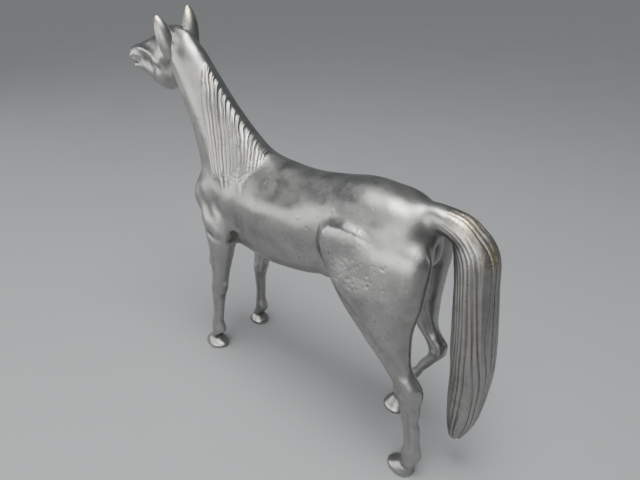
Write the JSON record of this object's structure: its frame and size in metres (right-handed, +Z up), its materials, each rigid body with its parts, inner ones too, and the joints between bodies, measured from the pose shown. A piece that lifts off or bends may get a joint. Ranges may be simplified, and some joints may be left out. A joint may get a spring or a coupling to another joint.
{
  "type": "horse statuette",
  "caption": "Standing bronze horse with level head, hanging mane and full tail, cast in nine pieces joined by pinned spigots.",
  "frame": {"origin": "on the floor, under the middle of the statue's box", "axes": "the horse faces -Y, +X is its left side, +Z is up"},
  "size_m": [0.0819, 0.3652, 0.315],
  "materials": {
    "patinated_bronze": "cast bronze, dark grey-brown patina, satin, rubbed bright on high edges",
    "bare_bronze": "drawn bronze rod, unpatinated, hidden inside the joints",
    "plug_bronze": "cast bronze plug, chased flush and patinated with the skin"
  },
  "bodies": {
    "root": {"torso": "patinated_bronze", "neck_and_head": "patinated_bronze", "ear_left": "patinated_bronze", "ear_right": "patinated_bronze", "foreleg_left": "patinated_bronze", "foreleg_right": "patinated_bronze", "hindleg_left": "patinated_bronze", "hindleg_right": "patinated_bronze", "tail": "patinated_bronze", "foreleg_left_pin": "bare_bronze", "foreleg_right_pin": "bare_bronze", "hindleg_left_pin": "bare_bronze", "hindleg_right_pin": "bare_bronze", "neck_dowel_upper": "bare_bronze", "neck_dowel_lower": "bare_bronze", "tail_pin": "bare_bronze", "core_plug_left_front": "plug_bronze", "core_plug_left_rear": "plug_bronze", "core_plug_left_neck": "plug_bronze", "core_plug_right_front": "plug_bronze", "core_plug_right_rear": "plug_bronze", "core_plug_right_neck": "plug_bronze", "belly_plug": "plug_bronze"}
  },
  "joints": []
}
